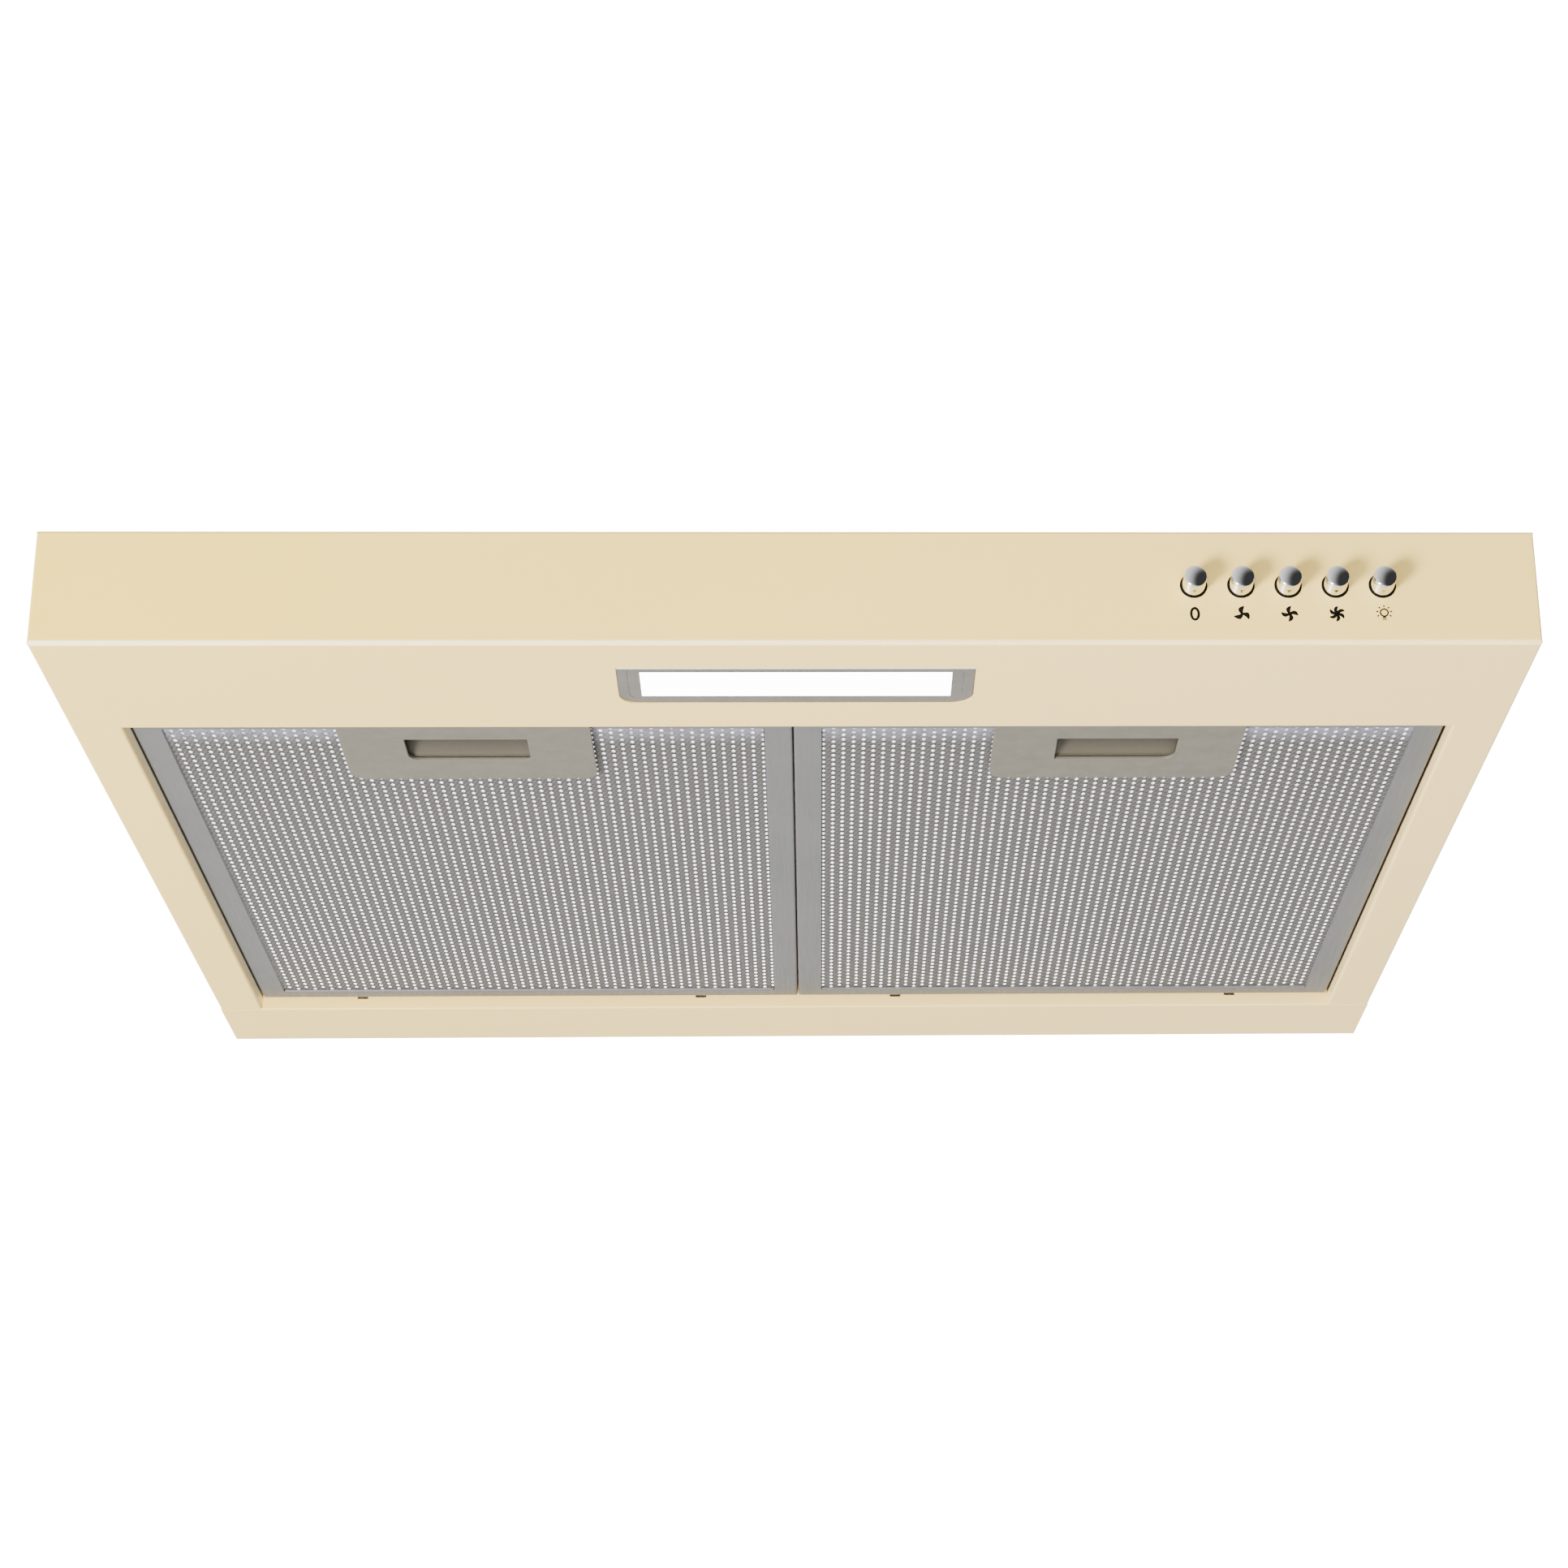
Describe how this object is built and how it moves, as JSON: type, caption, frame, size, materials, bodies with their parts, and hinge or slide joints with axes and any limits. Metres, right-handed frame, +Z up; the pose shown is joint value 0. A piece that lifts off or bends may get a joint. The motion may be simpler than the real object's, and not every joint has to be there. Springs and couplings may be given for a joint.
{
  "type": "under cabinet range hood",
  "caption": "Built-under extractor hood with a low front visor, push buttons, a lamp panel, hinged metal grease filters and a round top duct collar.",
  "frame": {"origin": "on the upper face of the top plate, on the centre line, 240 mm behind the fascia, where the hood is held under its cabinet", "axes": "+X to the right along the width, +Y back to the wall, +Z up into the cabinet"},
  "size_m": [0.6, 0.52, 0.17],
  "materials": {
    "cream_steel": "satin powder coat",
    "galvanised": "galvanised sheet",
    "filter_aluminium": "satin",
    "filter_mesh": "bright expanded mesh",
    "handle_grey": "fine matt",
    "chrome": "polished",
    "spring_steel": "bright",
    "black_plastic": "matt",
    "white_plastic": "matt",
    "lamp_lens": "frosted diffuser",
    "circuit_board": "white solder mask",
    "motor_casing": "satin",
    "lead_sheath": "matt"
  },
  "bodies": {
    "hood": {"canopy": "cream_steel", "rear_panel": "cream_steel", "top_plate": "galvanised", "duct_collar": "black_plastic", "damper_pin": "spring_steel", "blower_housing_lower": "galvanised", "blower_housing_upper": "galvanised", "inlet_guard": "black_plastic", "motor_body": "motor_casing", "motor_bracket": "galvanised", "motor_screw_1": "spring_steel", "motor_screw_2": "spring_steel", "motor_screw_3": "spring_steel", "capacitor": "white_plastic", "capacitor_clip": "galvanised", "terminal_box": "black_plastic", "terminal_cover": "black_plastic", "terminal_block": "white_plastic", "cable_gland": "black_plastic", "lamp_housing": "white_plastic", "lamp_lens": "lamp_lens", "lamp_board": "circuit_board", "lamp_driver": "white_plastic", "switch_bank": "black_plastic", "switch_bracket": "galvanised", "button_spring_1": "spring_steel", "button_spring_2": "spring_steel", "button_spring_3": "spring_steel", "button_spring_4": "spring_steel", "button_spring_5": "spring_steel", "motor_lead": "lead_sheath", "supply_lead": "lead_sheath", "lamp_lead": "lead_sheath"},
    "impeller": {"impeller": "black_plastic", "impeller_nut": "black_plastic", "motor_shaft": "spring_steel"},
    "damper_flap_left": {"damper_flap_left": "white_plastic"},
    "damper_flap_right": {"damper_flap_right": "white_plastic"},
    "button_off": {"button_off": "chrome"},
    "button_speed_1": {"button_speed_1": "chrome"},
    "button_speed_2": {"button_speed_2": "chrome"},
    "button_speed_3": {"button_speed_3": "chrome"},
    "button_light": {"button_light": "chrome"},
    "filter_left": {"filter_frame_left": "filter_aluminium", "filter_mesh_left": "filter_mesh", "filter_pad_left": "filter_mesh", "filter_back_left": "filter_mesh", "filter_handle_left": "handle_grey"},
    "filter_latch_left": {"filter_latch_left": "handle_grey"},
    "filter_right": {"filter_frame_right": "filter_aluminium", "filter_mesh_right": "filter_mesh", "filter_pad_right": "filter_mesh", "filter_back_right": "filter_mesh", "filter_handle_right": "handle_grey"},
    "filter_latch_right": {"filter_latch_right": "handle_grey"}
  },
  "joints": [
    {"name": "impeller_spin", "type": "hinge", "parent": "hood", "child": "impeller", "pos_m": [-0.146, 0.1, -0.071], "axis": [0, 0, 1], "continuous": true},
    {"name": "damper_left_lift", "type": "hinge", "parent": "hood", "child": "damper_flap_left", "pos_m": [0, 0.186, 0.007], "axis": [0, 1, 0], "range_deg": [0, 75]},
    {"name": "damper_right_lift", "type": "hinge", "parent": "hood", "child": "damper_flap_right", "pos_m": [0, 0.186, 0.007], "axis": [0, -1, 0], "range_deg": [0, 75]},
    {"name": "button_off_push", "type": "slide", "parent": "hood", "child": "button_off", "axis": [0, 1, 0], "range_m": [0, 0.0045], "stiffness_N_per_m": 600, "springref_m": -0.001, "deforming": ["button_spring_1"]},
    {"name": "button_speed_1_push", "type": "slide", "parent": "hood", "child": "button_speed_1", "axis": [0, 1, 0], "range_m": [0, 0.0045], "stiffness_N_per_m": 600, "springref_m": -0.001, "deforming": ["button_spring_2"]},
    {"name": "button_speed_2_push", "type": "slide", "parent": "hood", "child": "button_speed_2", "axis": [0, 1, 0], "range_m": [0, 0.0045], "stiffness_N_per_m": 600, "springref_m": -0.001, "deforming": ["button_spring_3"]},
    {"name": "button_speed_3_push", "type": "slide", "parent": "hood", "child": "button_speed_3", "axis": [0, 1, 0], "range_m": [0, 0.0045], "stiffness_N_per_m": 600, "springref_m": -0.001, "deforming": ["button_spring_4"]},
    {"name": "button_light_push", "type": "slide", "parent": "hood", "child": "button_light", "axis": [0, 1, 0], "range_m": [0, 0.0045], "stiffness_N_per_m": 600, "springref_m": -0.001, "deforming": ["button_spring_5"]},
    {"name": "filter_left_drop", "type": "hinge", "parent": "hood", "child": "filter_left", "pos_m": [-0.13887, 0.219, -0.1277], "axis": [1, 0, 0], "range_deg": [0, 50]},
    {"name": "filter_left_latch_slide", "type": "slide", "parent": "filter_left", "child": "filter_latch_left", "axis": [0, 1, 0], "range_m": [0, 0.005], "stiffness_N_per_m": 800, "springref_m": -0.002},
    {"name": "filter_right_drop", "type": "hinge", "parent": "hood", "child": "filter_right", "pos_m": [0.13887, 0.219, -0.1277], "axis": [1, 0, 0], "range_deg": [0, 50]},
    {"name": "filter_right_latch_slide", "type": "slide", "parent": "filter_right", "child": "filter_latch_right", "axis": [0, 1, 0], "range_m": [0, 0.005], "stiffness_N_per_m": 800, "springref_m": -0.002}
  ]
}
